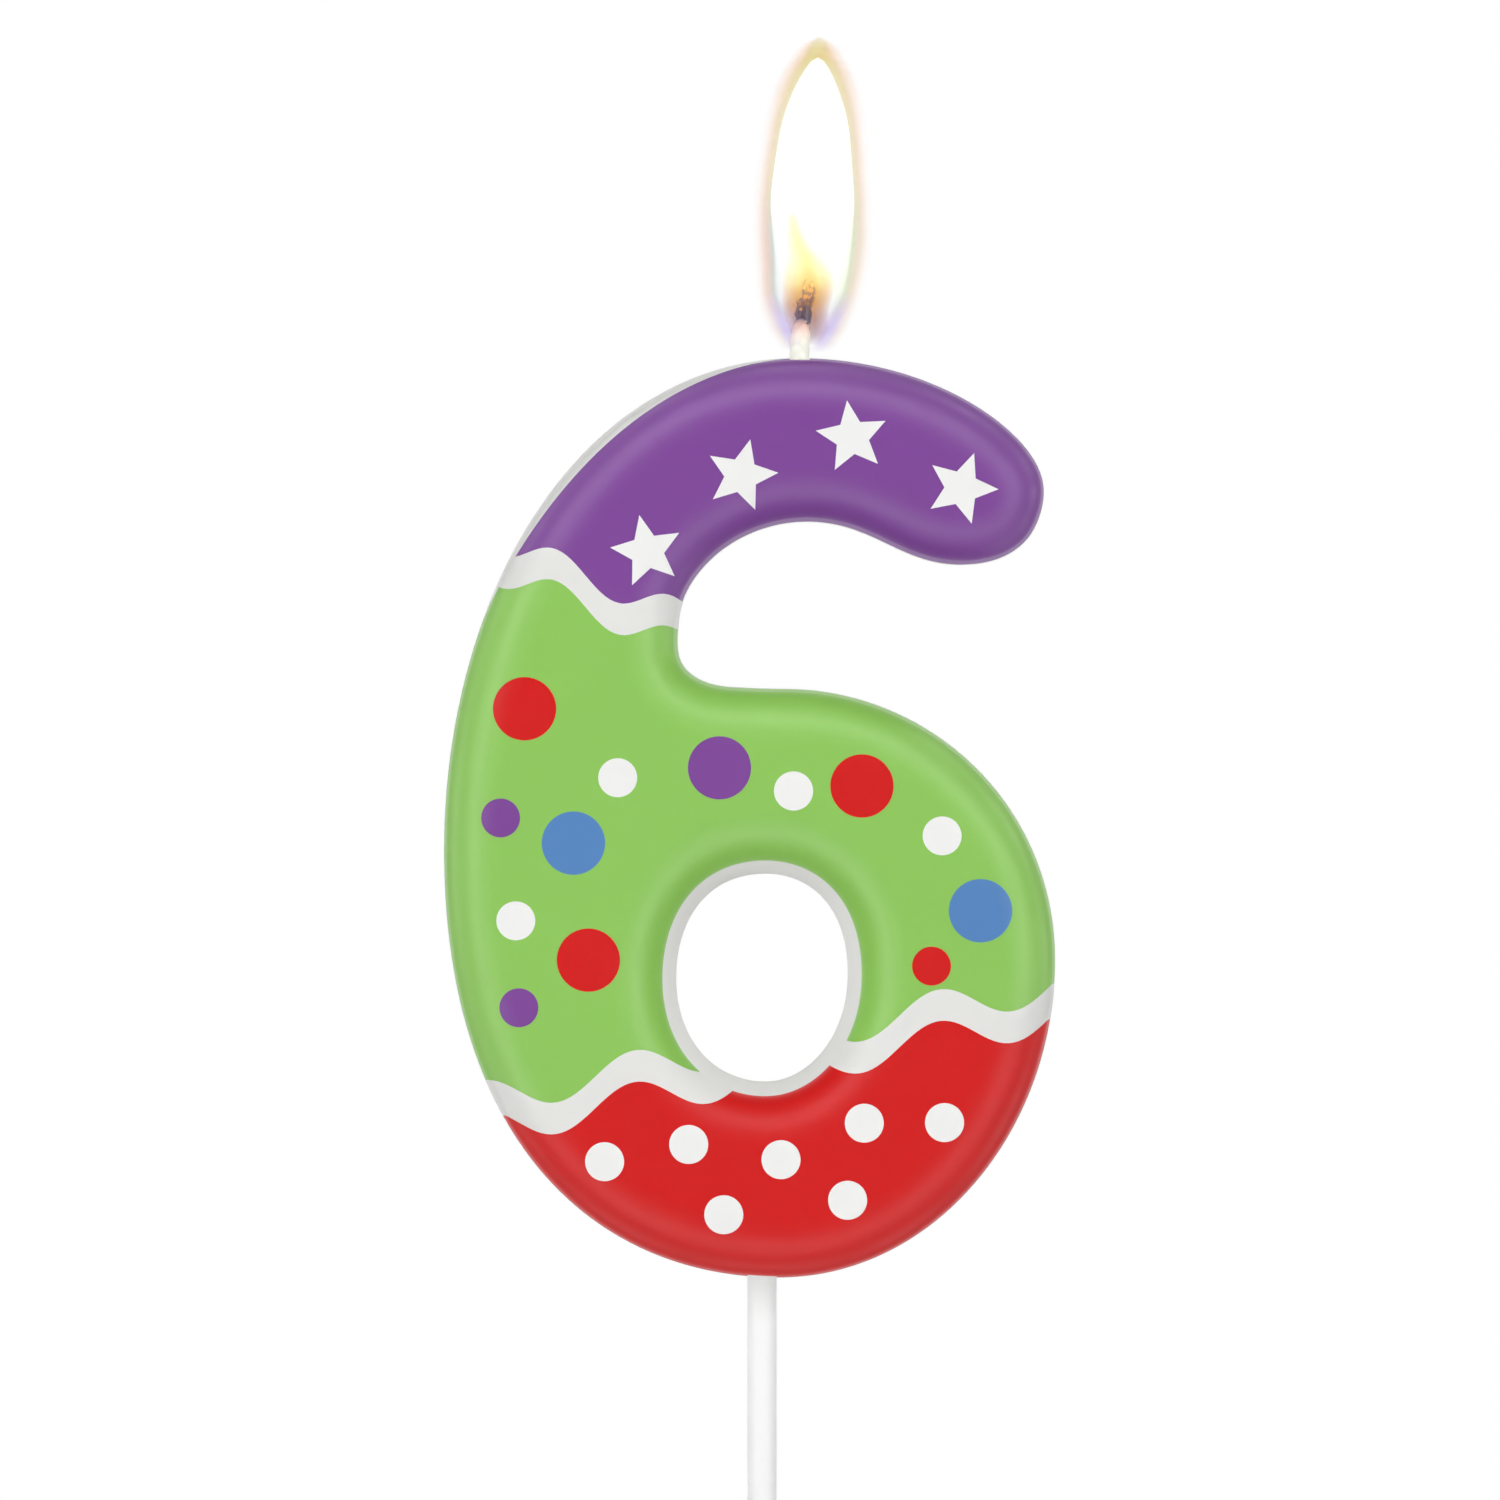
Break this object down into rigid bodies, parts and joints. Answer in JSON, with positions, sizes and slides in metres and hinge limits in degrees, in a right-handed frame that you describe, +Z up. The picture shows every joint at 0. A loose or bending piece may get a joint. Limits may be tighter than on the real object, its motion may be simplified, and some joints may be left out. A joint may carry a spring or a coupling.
{
  "type": "number candle",
  "caption": "Number candle in the shape of a six, lit, with coloured wax film, stars and dots on its front, pushed on a pick for a cake.",
  "frame": {"origin": "on the pick's axis, level with the lowest point of the numeral, where the top of the cake comes when the candle is pushed all the way in", "axes": "+Z up along the pick and the numeral, +Y out of the numeral's flat back, so that its front faces -Y, and +X to the right seen from the front"},
  "size_m": [0.0505, 0.012, 0.1515],
  "materials": {
    "bare_wax": "satin white paraffin wax",
    "purple_wax": "satin purple wax film",
    "green_wax": "satin green wax film",
    "red_wax": "satin red wax film",
    "blue_wax": "satin blue wax film",
    "white_wax": "satin white wax film",
    "wick_cotton": "waxed cotton braid",
    "burnt_cotton": "charred cotton",
    "flame": "burning gas, glowing",
    "pick_plastic": "glossy white plastic"
  },
  "bodies": {
    "pick": {"pick": "pick_plastic"},
    "numeral": {"wax_body": "bare_wax", "arm_film": "purple_wax", "middle_film": "green_wax", "base_film": "red_wax", "star_1": "white_wax", "star_2": "white_wax", "star_3": "white_wax", "star_4": "white_wax", "dot_1": "red_wax", "dot_2": "blue_wax", "dot_3": "white_wax", "dot_4": "red_wax", "dot_5": "white_wax", "dot_6": "purple_wax", "dot_7": "white_wax", "dot_8": "red_wax", "dot_9": "blue_wax", "dot_10": "purple_wax", "dot_11": "white_wax", "dot_12": "red_wax", "dot_13": "purple_wax", "base_dot_1": "white_wax", "base_dot_2": "white_wax", "base_dot_3": "white_wax", "base_dot_4": "white_wax", "base_dot_5": "white_wax", "base_dot_6": "white_wax", "base_dot_7": "white_wax", "wick": "wick_cotton", "burnt_wick_end": "burnt_cotton", "flame": "flame"}
  },
  "joints": [
    {"name": "numeral_lift", "type": "slide", "parent": "pick", "child": "numeral", "axis": [0, 0, 1], "range_m": [0, 0.012]}
  ]
}
